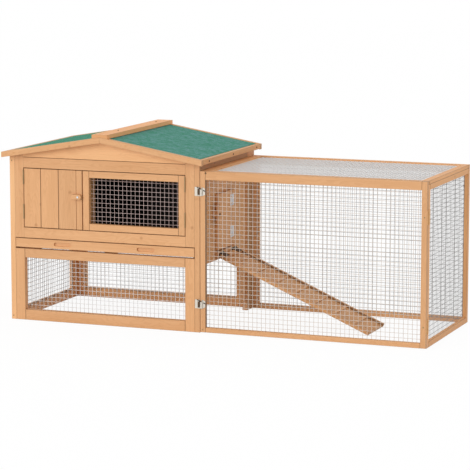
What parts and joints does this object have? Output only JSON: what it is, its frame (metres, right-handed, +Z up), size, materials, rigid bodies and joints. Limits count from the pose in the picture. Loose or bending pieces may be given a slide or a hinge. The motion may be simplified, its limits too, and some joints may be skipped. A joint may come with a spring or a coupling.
{
  "type": "outdoor rabbit run",
  "caption": "Two-storey wooden rabbit hutch with a felted gable roof, joined to a long wire-mesh run with a ramp; doors, tray, hasps and ramp move.",
  "frame": {"origin": "middle of the object's box on the ground", "axes": "+X from the hutch to the run's far end, -Y the front with the doors, +Z up"},
  "size_m": [1.5744, 0.5904, 0.6834],
  "materials": {
    "fir": "planed fir, honey stain, satin",
    "fir_inside": "planed fir, honey stain, darker in the shade",
    "felt": "mineral roofing felt, matt",
    "mesh": "galvanised welded wire",
    "zinc": "zinc plated, satin"
  },
  "bodies": {
    "hutch": {"left_wall_frame": "fir", "left_wall_boards": "fir", "left_wall_mesh": "mesh", "right_wall_frame": "fir", "right_wall_boards": "fir_inside", "back_wall_frame": "fir", "back_wall_boards": "fir", "back_wall_mesh": "mesh", "gable_boards": "fir", "front_stiles": "fir", "front_rails": "fir", "lower_front_frame": "fir", "lower_front_mesh": "mesh", "tray_runners": "fir_inside", "partition": "fir_inside", "roof_boards_left": "fir_inside", "roof_boards_right": "fir_inside", "roof_felt_left": "felt", "roof_felt_right": "felt", "ridge_cap": "fir", "barge_boards": "fir", "eave_fascias": "fir", "screws": "zinc", "run_back_frame": "fir", "run_back_mesh": "mesh", "run_end_frame": "fir", "run_end_mesh": "mesh", "run_top_frame": "fir", "run_top_mesh": "mesh", "door_jamb_leaves": "zinc", "run_jamb_leaves": "zinc", "inner_jamb_leaves": "zinc", "hinge_pins": "zinc", "hasp_knob_plates": "zinc", "pop_door_battens": "fir_inside", "ramp_ledger": "fir_inside"},
    "board_door": {"board_door_boards": "fir", "board_door_ledges": "fir_inside", "board_door_leaves": "zinc", "turn_button_screw": "zinc"},
    "turn_button": {"turn_button": "fir"},
    "window_door": {"window_door_frame": "fir", "window_door_mesh": "mesh", "window_door_leaves": "zinc"},
    "tray": {"tray_front": "fir", "tray_floor": "fir_inside"},
    "run_door": {"run_door_frame": "fir", "run_door_mesh": "mesh", "run_door_leaves": "zinc", "hasp_door_leaves": "zinc"},
    "upper_flap": {"hasp_flap_upper": "zinc"},
    "lower_flap": {"hasp_flap_lower": "zinc"},
    "upper_knob": {"hasp_knob_upper": "zinc"},
    "lower_knob": {"hasp_knob_lower": "zinc"},
    "pop_door": {"pop_door": "fir_inside", "pop_door_leaves": "zinc"},
    "pop_button": {"pop_door_button": "fir_inside"},
    "ramp": {"ramp_board": "fir_inside", "ramp_leaves": "zinc", "ramp_cleats": "fir_inside"}
  },
  "joints": [
    {"name": "board_door_swing", "type": "hinge", "parent": "hutch", "child": "board_door", "pos_m": [-0.7125, -0.2672, 0.44325], "axis": [0, 0, -1], "range_deg": [0, 110]},
    {"name": "turn_button_turn", "type": "hinge", "parent": "board_door", "child": "turn_button", "pos_m": [-0.496, -0.2662, 0.4555], "axis": [0, 1, 0], "range_deg": [0, 180]},
    {"name": "window_door_swing", "type": "hinge", "parent": "hutch", "child": "window_door", "pos_m": [-0.0895, -0.2672, 0.44325], "axis": [0, 0, 1], "range_deg": [0, 110]},
    {"name": "tray_slide", "type": "slide", "parent": "hutch", "child": "tray", "axis": [0, -1, 0], "range_m": [0, 0.45]},
    {"name": "run_door_swing", "type": "hinge", "parent": "hutch", "child": "run_door", "pos_m": [0.7852, -0.251, 0.278], "axis": [0, 0, 1], "range_deg": [0, 110]},
    {"name": "upper_flap_swing", "type": "hinge", "parent": "run_door", "child": "upper_flap", "pos_m": [-0.025, -0.2674, 0.4965], "axis": [0, 0, 1], "range_deg": [0, 150]},
    {"name": "lower_flap_swing", "type": "hinge", "parent": "run_door", "child": "lower_flap", "pos_m": [-0.025, -0.2674, 0.1015], "axis": [0, 0, 1], "range_deg": [0, 150]},
    {"name": "upper_knob_turn", "type": "hinge", "parent": "hutch", "child": "upper_knob", "pos_m": [-0.0373, -0.269, 0.498], "axis": [0, 1, 0], "range_deg": [0, 90]},
    {"name": "lower_knob_turn", "type": "hinge", "parent": "hutch", "child": "lower_knob", "pos_m": [-0.0373, -0.269, 0.103], "axis": [0, 1, 0], "range_deg": [0, 90]},
    {"name": "pop_door_swing", "type": "hinge", "parent": "hutch", "child": "pop_door", "pos_m": [-0.0275, 0.0278, 0.368], "axis": [0, 0, 1], "range_deg": [0, 175]},
    {"name": "pop_button_turn", "type": "hinge", "parent": "hutch", "child": "pop_button", "pos_m": [-0.0297, -0.117, 0.399], "axis": [1, 0, 0], "range_deg": [0, 90]},
    {"name": "ramp_lift", "type": "hinge", "parent": "hutch", "child": "ramp", "pos_m": [-0.0275, -0.015, 0.257], "axis": [0, -1, 0], "range_deg": [0, 22]}
  ]
}
